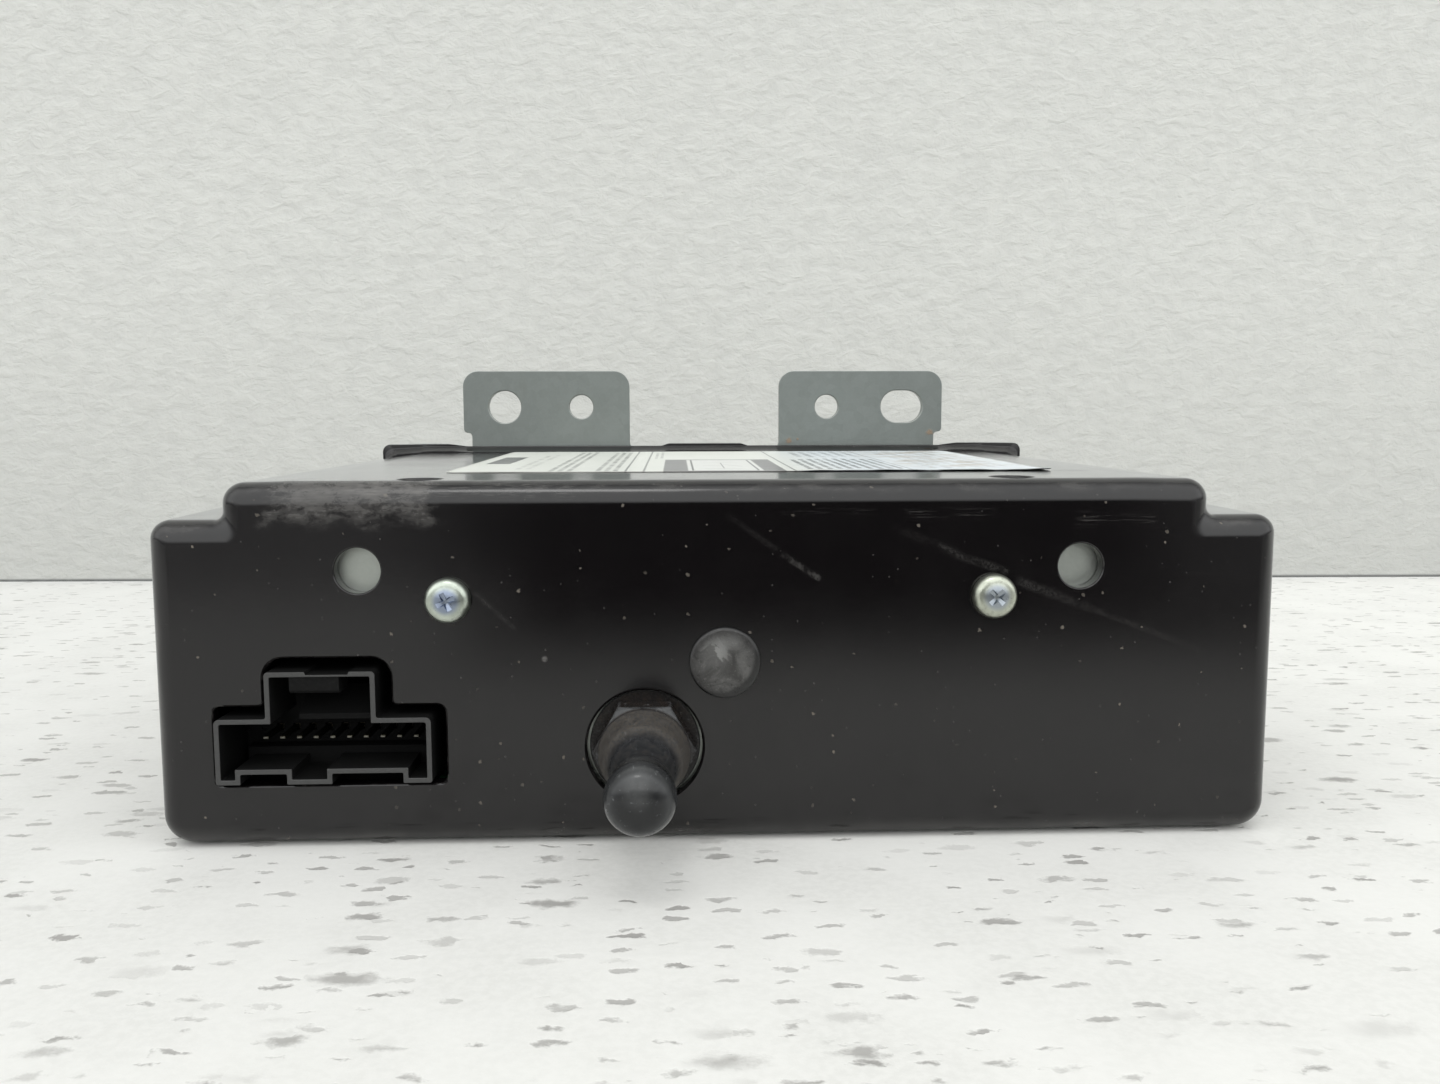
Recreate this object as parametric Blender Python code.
"""Brake control power unit: a moulded cover slid over a sheet-metal frame, with two mounting ears
at the rear, a necked locating stud and a 12-way socket at the front, and a capacitor board with a
fail-safe relay inside.

Built in metres, +Z up; all the constants below are millimetres. The origin is the centre of the
housing's flat underside. The front face, with the socket and the stud, looks along -Y, and the
ears stand up at the rear, at +Y.
"""

import math

import bmesh
import bpy
from mathutils import Vector

MM = 0.001

# ---------------------------------------------------------------- driving dimensions
GAP = 0.3            # clearance between pieces that rest on each other

# Cover
HALF_W = 75.0        # half width of the lower body at the front face
HALF_DECK = 65.5     # half width of the raised deck
Z_SHOULDER = 43.5    # height of the two side shoulders
Z_DECK = 48.5        # height of the deck at the front face
Y_FRONT = -48.0      # front face
Y_MOUTH = 47.8       # open rear end
DRAFT = 1.6          # rise of the deck and shoulders from front to rear
SIDE_DRAFT = 0.8     # spread of each side from front to rear
WALL = 2.0
LIP = 1.75           # height of the raised lip round the mouth, on top
SIDE_LIP = 1.3       # its height on the sides
LIP_LEN = 5.0
LIP_TOP = Z_DECK + DRAFT + LIP

# Rear mounting plate
PLATE_T = 1.6
PLATE_FRONT = Y_MOUTH + GAP
PLATE_BACK = PLATE_FRONT + PLATE_T
EAR_FOOT = 49.2      # half width of the plate where it passes the dip in the cover's lip

# Inner frame
FRAME_T = 1.2
FLANGE_FRONT = Y_FRONT + WALL + GAP
FLANGE_BACK = FLANGE_FRONT + FRAME_T
REAR_FLANGE_BACK = Y_MOUTH - 0.2
REAR_FLANGE_FRONT = REAR_FLANGE_BACK - FRAME_T
WEB_Z = 44.9         # underside of the top web
WEB_TOP = WEB_Z + FRAME_T

# Fixings
SCREW_X, SCREW_Z = 36.0, 33.0    # cover screws
RIVET_XS, RIVET_Z = (-48.0, 0.0, 48.0), 39.0
CLEARANCE_R = 1.75               # screw and rivet holes
STUD_X, STUD_Z = -10.5, 13.0     # axis of the locating stud

# Board and the four posts between it and the web
BOARD_Z, BOARD_T = 5.0, 1.6
BOARD_TOP = BOARD_Z + BOARD_T
PARTS_Z = BOARD_TOP + GAP        # underside of the parts on the board
POST_X, POST_REAR_Y, POST_FRONT_Y = 59.0, 37.5, -14.0
POSTS = [(side * POST_X, y) for y in (POST_REAR_Y, POST_FRONT_Y) for side in (1, -1)]

# Socket terminals; the two positions at the -X end are empty
TERMINAL_X = -41.3   # the terminal nearest +X
TERMINAL_PITCH, TERMINAL_COUNT = 2.22, 10
TERMINAL_Z, TERMINAL_W = 14.1, 0.64
TERMINAL_LEG_Y = -34.6
TERMINAL_XS = [TERMINAL_X - TERMINAL_PITCH * i for i in range(TERMINAL_COUNT)]

# Capacitor cells
CELL_R, CELL_H = 9.0, 33.0
CELL_PITCH_X, CELL_PITCH_Y = 22.0, 20.0
CELL_ROWS, CELL_COLUMNS = 3, 5
CELL_REAR_Y = 33.2
CELLS = [
    ((column - (CELL_COLUMNS - 1) / 2) * CELL_PITCH_X, CELL_REAR_Y - row * CELL_PITCH_Y)
    for row in range(CELL_ROWS)
    for column in range(CELL_COLUMNS)
]

# Smoothing angles in degrees
FLAT, LOFT_SMOOTH, REVOLVE_SMOOTH = 0, 35.0, 40.0

for old in list(bpy.data.objects):
    bpy.data.objects.remove(old, do_unlink=True)


# ---------------------------------------------------------------- materials
def material(name, colour, roughness, metallic=0.0):
    mat = bpy.data.materials.new(name)
    mat.use_nodes = True
    shader = mat.node_tree.nodes["Principled BSDF"]
    shader.inputs["Base Color"].default_value = (*colour, 1.0)
    shader.inputs["Roughness"].default_value = roughness
    shader.inputs["Metallic"].default_value = metallic
    mat.diffuse_color = (*colour, 1.0)
    return mat


MOULDING = material("black_moulding", colour=(0.030, 0.029, 0.031), roughness=0.38)
ZINC = material("zinc_plated_steel", colour=(0.42, 0.45, 0.44), roughness=0.42, metallic=1.0)
BRIGHT_ZINC = material("bright_zinc", colour=(0.75, 0.77, 0.74), roughness=0.22, metallic=1.0)
STUD_BLACK = material("black_stud", colour=(0.035, 0.036, 0.040), roughness=0.28, metallic=0.4)
SOCKET_GREY = material("socket_grey", colour=(0.060, 0.060, 0.062), roughness=0.5)
BRASS = material("tinned_brass", colour=(0.72, 0.62, 0.38), roughness=0.3, metallic=1.0)
PAPER = material("label_paper", colour=(0.86, 0.87, 0.84), roughness=0.45)
BOARD_GREEN = material("board_green", colour=(0.03, 0.16, 0.07), roughness=0.45)
NYLON = material("holder_nylon", colour=(0.05, 0.05, 0.05), roughness=0.6)
SLEEVE = material("cell_sleeve", colour=(0.05, 0.07, 0.20), roughness=0.4)
FOAM = material("foam", colour=(0.06, 0.06, 0.06), roughness=0.95)
CHIP_BLACK = material("chip_black", colour=(0.02, 0.02, 0.02), roughness=0.5)
ALUMINIUM = material("aluminium", colour=(0.78, 0.79, 0.80), roughness=0.35, metallic=1.0)
COPPER = material("copper_wire", colour=(0.72, 0.30, 0.15), roughness=0.35, metallic=1.0)
IRON = material("soft_iron", colour=(0.55, 0.56, 0.57), roughness=0.35, metallic=1.0)
CASE_BLACK = material("relay_case", colour=(0.08, 0.08, 0.09), roughness=0.4)


# ---------------------------------------------------------------- outlines
def circle(cx, cy, radius, n, turn=0.0):
    angles = [turn + 2 * math.pi * i / n for i in range(n)]
    return [(cx + radius * math.cos(a), cy + radius * math.sin(a)) for a in angles]


def rounded(corners, n):
    """A polygon of (u, v, radius) corners, each made an arc of n segments; radius 0 stays sharp."""
    out = []
    for i, (cu, cv, radius) in enumerate(corners):
        if radius <= 0:
            out.append((cu, cv))
            continue
        corner = Vector((cu, cv))
        before = (Vector(corners[i - 1][:2]) - corner).normalized()
        after = (Vector(corners[(i + 1) % len(corners)][:2]) - corner).normalized()
        half = math.acos(max(-1, min(1, before.dot(after)))) / 2
        reach = radius / math.tan(half)
        centre = corner + (before + after).normalized() * (radius / math.sin(half))
        start = corner + before * reach - centre
        end = corner + after * reach - centre
        first = math.atan2(start.y, start.x)
        last = math.atan2(end.y, end.x)
        turn = (last - first + math.pi) % (2 * math.pi) - math.pi
        for k in range(n + 1):
            a = first + turn * k / n
            out.append((centre.x + radius * math.cos(a), centre.y + radius * math.sin(a)))
    return out


def rectangle(u0, u1, v0, v1):
    return [(u0, v0), (u1, v0), (u1, v1), (u0, v1)]


def rounded_rectangle(u0, u1, v0, v1, radius, n):
    return rounded([(u, v, radius) for u, v in rectangle(u0, u1, v0, v1)], n)


def mirrored(half):
    """Completes an outline from its +X half."""
    return half + [(-x, *rest) for x, *rest in reversed(half)]


def hexagon(across_flats, n=24):
    """The stud's hexagon as n points, so that it lofts to a circle of n points."""
    out = []
    for i in range(n):
        a = 2 * math.pi * i / n
        from_flat = (a % (math.pi / 3)) - math.pi / 6   # angle from the middle of a flat
        radius = across_flats / 2 / math.cos(from_flat)
        out.append((STUD_X + radius * math.cos(a), STUD_Z + radius * math.sin(a)))
    return out


def at(axis, outline, along):
    """Stands an outline across an axis: (y, z) points for X, (x, z) for Y, (x, y) for Z."""
    if axis == "X":
        return [(along, u, v) for u, v in outline]
    if axis == "Y":
        return [(u, along, v) for u, v in outline]
    return [(u, v, along) for u, v in outline]


# ---------------------------------------------------------------- solids
def linked(name, data):
    obj = bpy.data.objects.new(name, data)
    bpy.context.scene.collection.objects.link(obj)
    return obj


def loft(name, rings, mat, smooth=LOFT_SMOOTH, closed=False):
    """Skins rings of equal length; caps both ends, or joins the last ring to the first."""
    n, count = len(rings[0]), len(rings)
    faces = []
    for k in range(count if closed else count - 1):
        a, b = k * n, (k + 1) % count * n
        for i in range(n):
            j = (i + 1) % n
            faces.append((a + i, a + j, b + j, b + i))
    if not closed:
        faces.append(range(n))
        faces.append(range((count - 1) * n, count * n))

    bm = bmesh.new()
    verts = [bm.verts.new(Vector(point) * MM) for ring in rings for point in ring]
    for face in faces:
        bm.faces.new([verts[i] for i in face])
    bmesh.ops.recalc_face_normals(bm, faces=bm.faces)
    mesh = bpy.data.meshes.new(name)
    bm.to_mesh(mesh)
    bm.free()
    mesh.materials.append(mat)
    if smooth:
        mesh.shade_smooth()
        mesh.set_sharp_from_angle(angle=math.radians(smooth))
    return linked(name, mesh)


def prism(name, axis, outline, start, end, mat, smooth=LOFT_SMOOTH):
    return loft(name, [at(axis, outline, along) for along in (start, end)], mat, smooth)


def box(name, xs, ys, zs, mat):
    return prism(name, "Z", rectangle(*xs, *ys), *zs, mat, FLAT)


def revolve(name, axis, profile, centre, base, n, mat, closed=False):
    """Turns (radius, height above base) pairs about an axis through centre, a point across it."""
    rings = [at(axis, circle(*centre, r, n, math.pi / n), base + h) for r, h in profile]
    return loft(name, rings, mat, REVOLVE_SMOOTH, closed)


def prisms(axis, outlines, start, end, mat):
    """Prisms of equal depth, as parts for joined()."""
    return [prism("part", axis, outline, start, end, mat) for outline in outlines]


def joined(name, parts):
    """Makes one object of several closed parts of one material that don't touch."""
    mat = parts[0].data.materials[0]
    bm = bmesh.new()
    for part in parts:
        bm.from_mesh(part.data)
        bpy.data.objects.remove(part, do_unlink=True)
    mesh = bpy.data.meshes.new(name)
    bm.to_mesh(mesh)
    bm.free()
    mesh.materials.append(mat)
    return linked(name, mesh)


def repeated(first, prefix, places):
    """Moves the first object to the first place and puts copies sharing its mesh at the rest."""
    for number, place in enumerate(places, 1):
        obj = first if number == 1 else linked(f"{prefix}_{number:02d}", first.data)
        obj.location = Vector(place) * MM


def boolean(target, tool, operation):
    tool.hide_render = True
    tool.display_type = "WIRE"
    mod = target.modifiers.new(operation.lower() + "_" + tool.name, "BOOLEAN")
    mod.operation = operation
    mod.solver = "EXACT"
    mod.object = tool


# Cutting tools overshoot the faces they pierce.
def cut(target, tool):
    boolean(target, tool, "DIFFERENCE")


def add(target, tool):
    boolean(target, tool, "UNION")


# ---------------------------------------------------------------- cover
R_BOTTOM, R_SHOULDER, R_INNER, R_DECK = 4.0, 2.5, 1.2, 2.8
R_CROWN = 25.0            # where the flat of the deck meets its falling edges
R_FRONT = 3.1             # rounding between the front face and the sides
FALL_W = 8.5              # width of each falling edge of the deck
FALL_FRONT, FALL = 0.15, 1.1   # how far it falls, at the front and behind it
FALL_LIP = FALL * 0.1     # and along the level of the lip
FALL_INSIDE = 0.1         # and inside the cover
R_DECK_LIP_LOSS = 1.3     # the deck's corners are squarer on the lip

# (distance from the start of the lip, share of its height): a sweep up, then a small upright step.
LIP_SWEEP = [(1.0, 0.04), (2.0, 0.19), (2.8, 0.40), (3.5, 0.66), (3.6, 0.98), (3.8, 1.0)]

# Opening for the socket: x, z, corner radius.
SOCKET_OPENING = [
    (-67.0, 8.4, 0.8), (-36.8, 8.4, 0.8), (-36.8, 19.0, 1.1), (-43.8, 19.0, 0.8),
    (-43.8, 25.4, 2.6), (-60.4, 25.4, 2.6), (-60.4, 19.0, 0.8), (-67.0, 19.0, 0.8),
]
STUD_HOLE_R = 7.7
SIDE_HOLE_X, SIDE_HOLE_Z, SIDE_HOLE_R = 47.7, 36.9, 3.0   # a round hole outside each screw
DECK_MARK_XS, DECK_MARK_Y, DECK_MARK_R, DECK_MARK_DEPTH = (-40.4, 39.7), -42.6, 3.0, 0.35
PAD_X, PAD_Z, PAD_R = 0.2, 24.3, 4.75

# +X half of the cut that lowers the lip between the ears but leaves a tab in the middle: x, z.
LIP_DIP = [
    (7.3, LIP_TOP + 0.02), (9.1, LIP_TOP - 0.55), (EAR_FOOT + 0.7, LIP_TOP - 0.55),
    (54.5, LIP_TOP + 0.02), (58.0, LIP_TOP + 3),
]


def body_section(y, side, top, bottom, fall=FALL, r_deck=R_DECK):
    """The stepped cross-section, grown by side and by top, with its underside at z = bottom."""
    half_w, half_deck = HALF_W + side, HALF_DECK + side
    shoulder, deck = Z_SHOULDER + top, Z_DECK + top
    inset = min(0.0, side)
    r_inner = min(1.6, R_INNER - inset)
    half = [
        (half_w, bottom, max(0.6, R_BOTTOM + inset)),
        (half_w, shoulder, max(0.5, R_SHOULDER + inset)),
        (half_deck, shoulder, r_inner),
        (half_deck, deck - fall, max(0.6, r_deck + inset)),
        (half_deck - FALL_W, deck, R_CROWN),
    ]
    return at("Y", rounded(mirrored(half), 4), y)


def build_front_cover():
    sections = []
    for k in range(5):
        phi = math.radians(22.5 * k)
        inset = R_FRONT * (1 - math.sin(phi))
        y = Y_FRONT + R_FRONT * (1 - math.cos(phi))
        sections.append(body_section(y, -inset, -inset, inset, FALL_FRONT))

    lip_start = Y_MOUTH - LIP_LEN
    length = Y_MOUTH - Y_FRONT
    share = (length - LIP_LEN) / length
    side, top = SIDE_DRAFT * share, DRAFT * share
    sections.append(body_section(lip_start, side, top, 0.0))
    for along, up in LIP_SWEEP:
        sections.append(body_section(
            lip_start + along, side + SIDE_LIP * up, top + LIP * up, 0.0,
            FALL + (FALL_LIP - FALL) * up, R_DECK - R_DECK_LIP_LOSS * up,
        ))
    sections.append(body_section(
        Y_MOUTH, SIDE_DRAFT + SIDE_LIP, DRAFT + LIP, 0.0, FALL_LIP, R_DECK - R_DECK_LIP_LOSS
    ))
    # Back inside, from the mouth to the inner side of the front wall.
    sections.append(body_section(Y_MOUTH, SIDE_DRAFT - WALL, DRAFT - WALL, WALL, FALL_INSIDE))
    sections.append(body_section(Y_FRONT + WALL, -WALL, -WALL, WALL, FALL_INSIDE))
    cover = loft("front_cover", sections, MOULDING)

    through = (Y_FRONT - 3, Y_FRONT + 5)
    cut(cover, prism("cut_socket", "Y", rounded(SOCKET_OPENING, 3), *through, MOULDING))
    holes = [circle(STUD_X, STUD_Z, STUD_HOLE_R, 32)]
    holes += [circle(s * SIDE_HOLE_X, SIDE_HOLE_Z, SIDE_HOLE_R, 24) for s in (-1, 1)]
    holes += [circle(s * SCREW_X, SCREW_Z, CLEARANCE_R, 16) for s in (-1, 1)]
    cut(cover, joined("cut_front_holes", prisms("Y", holes, *through, MOULDING)))

    # Two shallow round recesses on the deck, just behind its front edge.
    marks = [circle(x, DECK_MARK_Y, DECK_MARK_R, 20) for x in DECK_MARK_XS]
    mark_parts = prisms("Z", marks, Z_DECK - DECK_MARK_DEPTH, Z_DECK + 3, MOULDING)
    cut(cover, joined("cut_deck_marks", mark_parts))

    cut(cover, prism(
        "cut_lip", "Y", mirrored(LIP_DIP), lip_start - 1, Y_MOUTH + 3, MOULDING, FLAT
    ))

    # The round moulding pad in the middle of the front face.
    pad = [(PAD_R, 0.0), (PAD_R, -1.5), (PAD_R - 0.35, -1.85)]
    add(cover, revolve("add_gate_pad", "Y", pad, (PAD_X, PAD_Z), Y_FRONT + 1.0, 28, MOULDING))


# ---------------------------------------------------------------- rear mounting plate
PLATE_MARGIN = 0.2        # the plate's edge beyond the drafted cover section
EAR_IN, EAR_OUT, EAR_TOP = 15.9, 50.9, 67.0
EAR_NOTCH_Z = 54.1
PLATE_TOP = 51.1          # top edge between the ears, just under the cover's lip
HOLE_Z = 59.5             # height of the holes in the ears
HOLE_X, HOLE_R = 42.2, 3.4     # bolt hole on the -X ear, slot on the +X ear
SLOT_LEN = 8.9
SMALL_HOLE_X, SMALL_HOLE_R = 26.1, 2.5
VENT_XS, VENT_HALF_LEN, VENT_Z0, VENT_Z1 = (-40.0, 0.0, 40.0), 9, 14.0, 17.0


def build_rear_plate():
    half_w = HALF_W + SIDE_DRAFT + PLATE_MARGIN
    half_deck = HALF_DECK + SIDE_DRAFT + PLATE_MARGIN
    shoulder = Z_SHOULDER + DRAFT + PLATE_MARGIN
    deck = Z_DECK + DRAFT + PLATE_MARGIN
    half = [
        (half_w, 0.5, 4.0), (half_w, shoulder, 2.5),
        (half_deck, shoulder, 1.2), (half_deck, deck, 3.0),
        (EAR_FOOT, deck, 0.5), (EAR_FOOT, EAR_NOTCH_Z, 0.8),
        (EAR_OUT, EAR_NOTCH_Z, 0.8), (EAR_OUT, EAR_TOP, 3.2),
        (EAR_IN, EAR_TOP, 3.2), (EAR_IN, PLATE_TOP, 0.9),
    ]
    outline = rounded(mirrored(half), 4)
    plate = prism("rear_plate", "Y", outline, PLATE_FRONT, PLATE_BACK, ZINC)

    # The slot's corner radius stays just short of its half height, so its arcs don't meet.
    slot = rounded_rectangle(
        HOLE_X - SLOT_LEN / 2, HOLE_X + SLOT_LEN / 2, HOLE_Z - HOLE_R, HOLE_Z + HOLE_R,
        HOLE_R - 0.01, 7,
    )
    holes = [circle(-HOLE_X, HOLE_Z, HOLE_R, 28), slot]
    holes += [circle(s * SMALL_HOLE_X, HOLE_Z, SMALL_HOLE_R, 24) for s in (-1, 1)]
    holes += [circle(x, RIVET_Z, CLEARANCE_R, 16) for x in RIVET_XS]
    holes += [
        rounded_rectangle(x - VENT_HALF_LEN, x + VENT_HALF_LEN, VENT_Z0, VENT_Z1, 1.45, 4)
        for x in VENT_XS
    ]
    parts = prisms("Y", holes, PLATE_FRONT - 2, PLATE_BACK + 2, ZINC)
    cut(plate, joined("cut_plate_holes", parts))


# ---------------------------------------------------------------- inner frame
FRAME_HALF_W = 62.2
FLANGE_BOTTOM, REAR_FLANGE_BOTTOM = 4.2, 33.0
TONGUE_HALF_W, TONGUE_TOP = 10.5, 27.5   # part of the front flange that carries the stud
WINDOW_XS, WINDOW_HALF_LEN, WINDOW_Y0, WINDOW_Y1 = (-34.0, 20.0), 17, -34, -22

# Front flange, top web and rear flange seen from the side: y, z, corner radius.
FRAME_PROFILE = [
    (FLANGE_FRONT, FLANGE_BOTTOM, 0), (FLANGE_BACK, FLANGE_BOTTOM, 0),
    (FLANGE_BACK, WEB_Z, 1.0), (REAR_FLANGE_FRONT, WEB_Z, 1.0),
    (REAR_FLANGE_FRONT, REAR_FLANGE_BOTTOM, 0), (REAR_FLANGE_BACK, REAR_FLANGE_BOTTOM, 0),
    (REAR_FLANGE_BACK, WEB_TOP, 1.9), (FLANGE_FRONT, WEB_TOP, 1.9),
]

# Radius and y, from the formed head in front of the rear flange to the head behind the plate.
RIVET_PROFILE = [
    (1.5, REAR_FLANGE_FRONT - 1.2), (2.6, REAR_FLANGE_FRONT - 1.05),
    (2.6, REAR_FLANGE_FRONT - 0.15), (1.5, REAR_FLANGE_FRONT - 0.15),
    (1.5, PLATE_BACK + 0.12), (2.9, PLATE_BACK + 0.12),
    (2.6, PLATE_BACK + 0.8), (1.4, PLATE_BACK + 1.25),
]


def build_inner_frame():
    profile = rounded(FRAME_PROFILE, 3)
    frame = prism("inner_frame", "X", profile, -FRAME_HALF_W, FRAME_HALF_W, ZINC)

    front = (FLANGE_FRONT - 1, FLANGE_BACK + 1)
    rear = (REAR_FLANGE_FRONT - 1, REAR_FLANGE_BACK + 1)
    web = (WEB_Z - 1, WEB_TOP + 1)
    # Beside the tongue the flange stops higher up.
    cut(frame, joined("cut_frame", [
        box("part", xs, front, (0, TONGUE_TOP), ZINC)
        for xs in ((-70, STUD_X - TONGUE_HALF_W), (STUD_X + TONGUE_HALF_W, 70))
    ]))

    front_holes = [circle(s * SCREW_X, SCREW_Z, 1.65, 16) for s in (-1, 1)]
    front_holes.append(circle(STUD_X, STUD_Z, 3.25, 20))
    rear_holes = [circle(x, RIVET_Z, CLEARANCE_R, 16) for x in RIVET_XS]
    web_holes = [circle(x, y, CLEARANCE_R, 16) for x, y in POSTS]
    web_holes += [
        rounded_rectangle(x - WINDOW_HALF_LEN, x + WINDOW_HALF_LEN, WINDOW_Y0, WINDOW_Y1, 3, 3)
        for x in WINDOW_XS
    ]
    parts = prisms("Y", front_holes, *front, ZINC)
    parts += prisms("Y", rear_holes, *rear, ZINC)
    parts += prisms("Z", web_holes, *web, ZINC)
    cut(frame, joined("cut_frame_holes", parts))


def build_frame_rivets():
    for i, x in enumerate(RIVET_XS, 1):
        revolve(f"frame_rivet_{i}", "Y", RIVET_PROFILE, (x, RIVET_Z), 0, 16, BRIGHT_ZINC)


# ---------------------------------------------------------------- cover screws
HEAD_R, HEAD_H = 2.98, 2.1
SHANK_R, SHANK_LEN = 1.5, 7.5
CROSS_HALF_W, CROSS_REACH, CROSS_DEPTH = 0.55, HEAD_R * 0.58, 1.1


def build_cover_screw(name, x):
    """A pan-head screw with a cross recess, its head towards -Y."""
    seat = Y_FRONT - 0.1
    profile = [
        (0.9, -HEAD_H), (HEAD_R * 0.55, -HEAD_H + 0.06), (HEAD_R * 0.86, -HEAD_H * 0.72),
        (HEAD_R, -HEAD_H * 0.34), (HEAD_R, 0.0), (SHANK_R, 0.0),
        (SHANK_R, SHANK_LEN - 0.6), (SHANK_R * 0.6, SHANK_LEN),
    ]
    screw = revolve(name, "Y", profile, (x, SCREW_Z), seat, 20, BRIGHT_ZINC)
    w, d = CROSS_HALF_W, CROSS_REACH
    cross = [
        (-w, -d), (w, -d), (w, -w), (d, -w), (d, w), (w, w),
        (w, d), (-w, d), (-w, w), (-d, w), (-d, -w), (-w, -w),
    ]
    outline = [(x + a, SCREW_Z + b) for a, b in cross]
    top = seat - HEAD_H
    cut(screw, prism(
        "cut_" + name, "Y", outline, top - 1, top + CROSS_DEPTH, BRIGHT_ZINC, FLAT
    ))


# ---------------------------------------------------------------- locating stud
STUD_SEAT = FLANGE_FRONT - 0.1
STUD_FLATS, NUT_FLATS = 12.0, 10.0

# Tail and flange: radius, distance behind the seat.
STUD_TAIL = [(2.4, 9.4), (3.0, 8.8), (3.0, 0.0), (7.4, 0.0), (7.4, -1.0)]
# Collar, neck and bulb: radius, distance in front of the cover's face.
STUD_NOSE = [
    (6.0, 4.1), (5.05, 8.3), (4.8, 8.8), (3.9, 11.2), (3.2, 13.2), (3.15, 15.0), (3.6, 16.2),
    (3.9, 18.0), (4.2, 20.2), (4.3, 21.6), (4.05, 22.9), (3.4, 23.9), (2.3, 24.5), (1.0, 24.75),
]


def build_locating_stud():
    def round_ring(radius, y):
        return at("Y", circle(STUD_X, STUD_Z, radius, 24), y)

    rings = [round_ring(r, STUD_SEAT + behind) for r, behind in STUD_TAIL]
    rings += [at("Y", hexagon(STUD_FLATS), y) for y in (STUD_SEAT - 1.0, Y_FRONT - 3.4)]
    rings += [round_ring(r, Y_FRONT - ahead) for r, ahead in STUD_NOSE]
    loft("locating_stud", rings, STUD_BLACK)


def build_stud_nut():
    """The nut behind the frame's tongue."""
    y0, y1 = FLANGE_BACK + 0.15, FLANGE_BACK + 5.0
    nut = prism("stud_nut", "Y", hexagon(NUT_FLATS), y0, y1, ZINC, smooth=20)
    bore = circle(STUD_X, STUD_Z, 3.2, 20)
    cut(nut, prism("cut_nut", "Y", bore, FLANGE_BACK - 1, FLANGE_BACK + 7, ZINC))


# ---------------------------------------------------------------- 12-way socket
SOCKET_X0, SOCKET_X1 = -66.5, -38.4
SOCKET_Z0, SOCKET_Z1 = 8.9, 17.7
TAB_X0, TAB_X1, TAB_TOP = -59.8, -45.5, 23.9      # the raised tab on top
KEYS, KEY_Z = ((-63.3, -57.3), (-51.4, -42.2)), 10.3   # keying grooves underneath
SOCKET_FRONT, SOCKET_FLOOR, SOCKET_BACK = -49.5, -39.5, -36.5
SOCKET_WALL = 0.7

LATCH_DIP = [(-55.4, 25.5), (-54.4, 23.5), (-49.0, 23.5), (-48.0, 25.5)]    # x, z
LATCH_CATCH = [                                                             # y, z
    (-49.3, 23.4), (-49.3, 21.4), (-48.9, 21.0), (-45.6, 21.0), (-44.8, 22.2), (-44.8, 23.4),
]
LATCH_RAMP = [(-39.2, 16.8), (-46.0, 16.8), (-46.0, 17.5), (-41.6, 20.6), (-39.2, 20.6)]   # y, z


def socket_outline(inset):
    """The socket's outline (x, z), moved inwards by inset."""
    left, right = SOCKET_X0 + inset, SOCKET_X1 - inset
    bottom, top = SOCKET_Z0 + inset, SOCKET_Z1 - inset
    tab_left, tab_right, tab_top = TAB_X0 + inset, TAB_X1 - inset, TAB_TOP - inset
    points = [(left, bottom)]
    for x0, x1 in KEYS:
        points += [
            (x0 - inset, bottom), (x0 - inset, KEY_Z + inset),
            (x1 + inset, KEY_Z + inset), (x1 + inset, bottom),
        ]
    return points + [
        (right, bottom), (right, top), (tab_right, top), (tab_right, tab_top),
        (tab_left, tab_top), (tab_left, top), (left, top),
    ]


def build_connector_housing():
    def part(name, axis, outline, start, end):
        return prism(name, axis, outline, start, end, SOCKET_GREY, FLAT)

    housing = part("connector_housing", "Y", socket_outline(0.0), SOCKET_FRONT, SOCKET_BACK)
    bay = socket_outline(SOCKET_WALL)
    cut(housing, part("cut_socket_bay", "Y", bay, SOCKET_FRONT - 2, SOCKET_FLOOR))
    # The dip in the roof of the tab, the catch block under it and the ramp for the plug's latch.
    cut(housing, part("cut_latch_dip", "Y", LATCH_DIP, SOCKET_FRONT - 1, SOCKET_BACK - 1.5))
    add(housing, part("add_latch_catch", "X", LATCH_CATCH, -56.6, -50.2))
    add(housing, part("add_latch_ramp", "X", LATCH_RAMP, -56.5, -47.0))
    # A foot that carries the socket on the board.
    add(housing, box(
        "add_socket_foot", (-65.0, -39.4), (-42.0, -36.8), (PARTS_Z, 12.0), SOCKET_GREY
    ))
    ys = (SOCKET_FLOOR - 3.5, SOCKET_BACK + 1)
    zs = (TERMINAL_Z - 0.5, TERMINAL_Z + 0.5)
    cut(housing, joined(
        "cut_terminal_holes",
        [box("part", (x - 0.5, x + 0.5), ys, zs, SOCKET_GREY) for x in TERMINAL_XS],
    ))


def build_terminals():
    """Pins with a tapered tip in the socket and a leg bent down through the board."""
    half = TERMINAL_W / 2
    tip, taper, leg, foot = -45.4, -44.7, TERMINAL_LEG_Y, BOARD_Z - 1.0
    profile = [
        (tip, TERMINAL_Z - half * 0.35), (taper, TERMINAL_Z - half),
        (leg - half, TERMINAL_Z - half), (leg - half, foot), (leg + half, foot),
        (leg + half, TERMINAL_Z + half), (taper, TERMINAL_Z + half),
        (tip, TERMINAL_Z + half * 0.35),
    ]
    first = prism("terminal_01", "X", profile, -half, half, BRASS, FLAT)
    repeated(first, "terminal", [(x, 0, 0) for x in reversed(TERMINAL_XS)])


# ---------------------------------------------------------------- board
# x, y, corner radius; the front edge steps forward under the socket.
BOARD_OUTLINE = [
    (-70.5, -43.6, 1.0), (-33.5, -43.6, 1.0), (-33.5, -36.8, 1.0),
    (70.5, -36.8, 1.0), (70.5, 43.8, 1.5), (-70.5, 43.8, 1.5),
]


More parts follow.
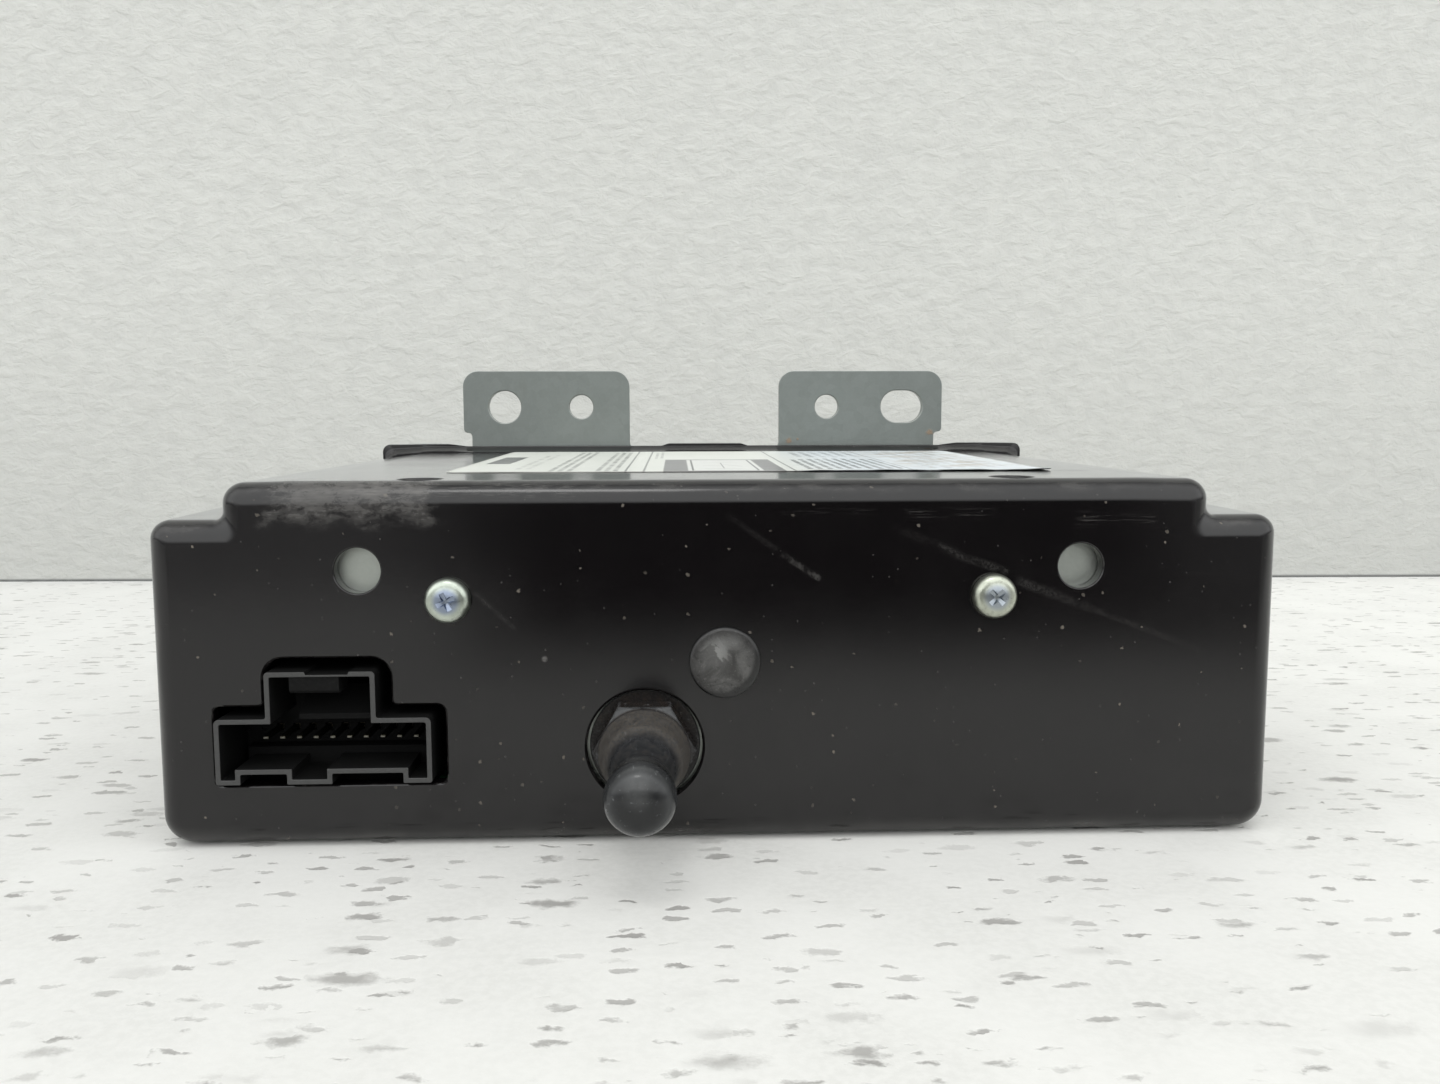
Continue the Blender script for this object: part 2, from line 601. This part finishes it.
def build_main_board():
    outline = rounded(BOARD_OUTLINE, 2)
    board = prism("main_board", "Z", outline, BOARD_Z, BOARD_TOP, BOARD_GREEN)
    holes = [circle(x, TERMINAL_LEG_Y, 0.7, 8, math.pi / 8) for x in TERMINAL_XS]
    holes += [circle(x, y, CLEARANCE_R, 16) for x, y in POSTS]
    cut(board, joined("cut_board", prisms("Z", holes, BOARD_Z - 1, BOARD_TOP + 1, BOARD_GREEN)))


# ---------------------------------------------------------------- cells, holder and foam
HOLDER_Z0, HOLDER_Z1 = 24.0, 28.0
HOLDER_POST_R, PILOT_R = 3.3, 1.6


def build_cells():
    profile = [
        (CELL_R - 0.9, 0.0), (CELL_R, 0.7), (CELL_R, CELL_H - 0.7), (CELL_R - 0.9, CELL_H),
    ]
    first = revolve("cell_01", "Z", profile, (0, 0), 0, 18, SLEEVE)
    repeated(first, "cell", [(x, y, PARTS_Z) for x, y in CELLS])


def build_cell_holder():
    """A plate round the cells, on four posts from the board to the web."""
    outline = rounded_rectangle(-62.4, 62.4, -17.6, 43.4, 3.0, 3)
    holder = prism("cell_holder", "Z", outline, HOLDER_Z0, HOLDER_Z1, NYLON)
    for i, (x, y) in enumerate(POSTS):
        post = circle(x, y, HOLDER_POST_R, 14)
        add(holder, prism(f"add_post_{i}", "Z", post, PARTS_Z, WEB_Z - GAP, NYLON))
    bores = [circle(x, y, CELL_R + 0.4, 18) for x, y in CELLS]
    cut(holder, joined("cut_cells", prisms("Z", bores, HOLDER_Z0 - 1, HOLDER_Z1 + 1, NYLON)))
    # Screw pilots in the lower and upper ends of the posts.
    pilots = [circle(x, y, PILOT_R, 12) for x, y in POSTS]
    parts = prisms("Z", pilots, BOARD_Z, BOARD_TOP + 11, NYLON)
    parts += prisms("Z", pilots, WEB_Z - 10, WEB_Z + 3, NYLON)
    cut(holder, joined("cut_posts", parts))


def post_screw(name, place, seat, up, length, head_r, head_h):
    """A pan-head screw along Z. up = 1 has its head on top, up = -1 has it underneath."""
    shank_r = 1.45
    profile = [
        (head_r * 0.6, head_h), (head_r, head_h * 0.6), (head_r, 0.0),
        (shank_r, 0.0), (shank_r, -length + 0.5), (shank_r * 0.6, -length),
    ]
    revolve(name, "Z", [(r, up * h) for r, h in profile], place, seat, 14, BRIGHT_ZINC)


def build_post_screws():
    for i, place in enumerate(POSTS, 1):
        post_screw(f"board_screw_{i}", place, BOARD_Z - 0.1, up=-1,
                   length=8.5, head_r=2.7, head_h=1.6)
    # Low heads on top of the web, under the deck, on two opposite posts.
    for i, place in enumerate((POSTS[0], POSTS[3]), 1):
        post_screw(f"holder_screw_{i}", place, WEB_TOP + 0.08, up=1,
                   length=7.5, head_r=2.6, head_h=0.32)


def build_foam_pad():
    outline = rounded_rectangle(-52.5, 52.5, -14.5, 41.5, 2.0, 2)
    prism("foam_pad", "Z", outline, PARTS_Z + CELL_H + GAP, WEB_Z - GAP, FOAM)


# ---------------------------------------------------------------- board parts ahead of the cells
CHIP_X, CHIP_Y = -30, -28
# Half width and height above the base: a thin skirt for the rows of legs, then the body.
CHIP_STEPS = [(7.2, 0.0), (7.2, 0.25), (6.1, 0.8), (5.9, 1.8)]
# Drum choke and smoothing capacitor: radius, height above the base.
CHOKE_PROFILE = [(7.0, 0.0), (7.0, 1.4), (6.0, 1.5), (6.0, 10.0), (7.0, 10.1), (7.0, 11.5)]
CAPACITOR_PROFILE = [
    (4.4, 0.0), (5.0, 0.5), (5.0, 1.6), (4.6, 2.2), (5.0, 2.8), (5.0, 19.5), (4.5, 20.0),
]
# L-shaped heat sink: y, z, corner radius.
HEAT_SINK_PROFILE = [
    (-36.0, PARTS_Z, 0), (-20.5, PARTS_Z, 0), (-20.5, PARTS_Z + 1.5, 0),
    (-34.5, PARTS_Z + 1.5, 0.8), (-34.5, 30.0, 0), (-36.0, 30.0, 0),
]


def build_control_chip():
    rings = []
    for half, up in CHIP_STEPS:
        outline = rounded_rectangle(
            CHIP_X - half, CHIP_X + half, CHIP_Y - half, CHIP_Y + half, 0.4, 1
        )
        rings.append(at("Z", outline, PARTS_Z + up))
    loft("control_chip", rings, CHIP_BLACK, FLAT)


def build_power_parts():
    revolve("choke_coil", "Z", CHOKE_PROFILE, (-6.5, -27.5), PARTS_Z, 20, COPPER)
    prism("heat_sink", "X", rounded(HEAT_SINK_PROFILE, 2), 55.0, 71.0, ALUMINIUM)
    for i, xs in enumerate(((55.8, 62.6), (63.4, 70.2)), 1):
        box(f"power_transistor_{i}", xs, (-34.2, -31.6), (12.0, 22.0), CHIP_BLACK)
    revolve("smoothing_capacitor", "Z", CAPACITOR_PROFILE, (14.5, -27.0), PARTS_Z, 18, SLEEVE)


# ---------------------------------------------------------------- fail-safe relay
RELAY_X, RELAY_Y, RELAY_Z = 41.0, -27.5, PARTS_Z   # centre of the relay's base
HINGE_X, HINGE_Z = -7.9, 15.6                      # armature axis, from that centre

# From the relay's centre. L-shaped yoke: x, z, corner radius.
YOKE = [
    (-8.6, 2.7, 0.6), (4.6, 2.7, 0), (4.6, 4.1, 0), (-7.2, 4.1, 0.5), (-7.2, 15.0, 0),
    (-8.6, 15.0, 0),
]
# Core and coil: radius, z. The coil's is a closed loop, so it has a bore.
CORE = [(2.0, 4.4), (2.0, 14.0), (3.4, 14.0), (3.4, 14.8), (3.2, 15.0)]
COIL = [
    (2.3, 4.4), (6.2, 4.4), (6.2, 5.2), (5.6, 5.3), (5.6, 12.7), (6.2, 12.8), (6.2, 13.6),
    (2.3, 13.6),
]
# T-shaped contact post: x, z.
CONTACT_POST = [
    (7.0, 2.7), (7.8, 2.7), (7.8, 13.6), (8.8, 13.6), (8.8, 14.3), (6.2, 14.3), (6.2, 13.6),
    (7.0, 13.6),
]


def relay_span(centre, half):
    return centre - half, centre + half


def build_relay_body():
    box("relay_base", relay_span(RELAY_X, 9.6), relay_span(RELAY_Y, 7.1),
        (RELAY_Z, RELAY_Z + 2.4), NYLON)
    yoke = rounded([(RELAY_X + x, RELAY_Z + z, r) for x, z, r in YOKE], 2)
    prism("relay_yoke", "Y", yoke, *relay_span(RELAY_Y, 5.5), IRON)
    centre = (RELAY_X, RELAY_Y)
    revolve("relay_core", "Z", CORE, centre, RELAY_Z, 18, IRON)
    revolve("relay_coil", "Z", COIL, centre, RELAY_Z, 20, COPPER, closed=True)
    post = [(RELAY_X + x, RELAY_Z + z) for x, z in CONTACT_POST]
    prism("relay_contact_post", "Y", post, *relay_span(RELAY_Y, 2.0), BRASS, FLAT)


def build_relay_armature():
    """The armature rocks on the yoke's top edge; its pieces hang from an empty on that axis."""
    hinge = linked("relay_hinge_axis", None)
    hinge.location = Vector((RELAY_X + HINGE_X, RELAY_Y, RELAY_Z + HINGE_Z)) * MM
    plate = rectangle(-1.0, 12.0, 0.35, 1.35)
    armature = prism("relay_armature", "Y", plate, -5.2, 5.2, IRON, FLAT)
    # The leaf spring carries the moving contact, past the armature's free end.
    leaf = rectangle(1.5, 16.6, 1.5, 1.8)
    spring = prism("relay_contact_spring", "Y", leaf, -3.0, 3.0, BRASS, FLAT)
    button = prism("add_contact_button", "Z", circle(15.4, 0.0, 1.1, 12), 0.1, 1.7, BRASS)
    add(spring, button)
    for obj in (armature, spring, button):
        obj.parent = hinge


def build_relay_case():
    outline = rounded_rectangle(*relay_span(RELAY_X, 10.6), *relay_span(RELAY_Y, 8.0), 1.0, 2)
    case = prism("relay_case", "Z", outline, RELAY_Z + GAP, RELAY_Z + 20.0, CASE_BLACK)
    cut(case, box("cut_case", relay_span(RELAY_X, 9.8), relay_span(RELAY_Y, 7.3),
                  (RELAY_Z - 1.0, RELAY_Z + 19.2), CASE_BLACK))


# ---------------------------------------------------------------- label on the deck
LABEL_X0, LABEL_X1, LABEL_Y0, LABEL_Y1 = -39.8, 50.0, -29.0, 42.5
LABEL_T, LABEL_LIFT = 0.2, 0.08


def deck_z(y):
    run = Y_MOUTH - Y_FRONT - R_FRONT
    return Z_DECK + DRAFT * (y - Y_FRONT - R_FRONT) / run


def build_rating_label():
    """A thin sheet that follows the slope of the deck."""
    corners = [
        (x, y, deck_z(y) + LABEL_LIFT)
        for x, y in rectangle(LABEL_X0, LABEL_X1, LABEL_Y0, LABEL_Y1)
    ]
    rings = [[(x, y, z + up) for x, y, z in corners] for up in (0.0, LABEL_T)]
    loft("rating_label", rings, PAPER, FLAT)


# ---------------------------------------------------------------- build
build_front_cover()
build_rear_plate()
build_inner_frame()
build_frame_rivets()
build_cover_screw("cover_screw_left", -SCREW_X)
build_cover_screw("cover_screw_right", SCREW_X)
build_locating_stud()
build_stud_nut()
build_connector_housing()
build_terminals()
build_main_board()
build_cells()
build_cell_holder()
build_post_screws()
build_foam_pad()
build_control_chip()
build_power_parts()
build_relay_body()
build_relay_armature()
build_relay_case()
build_rating_label()
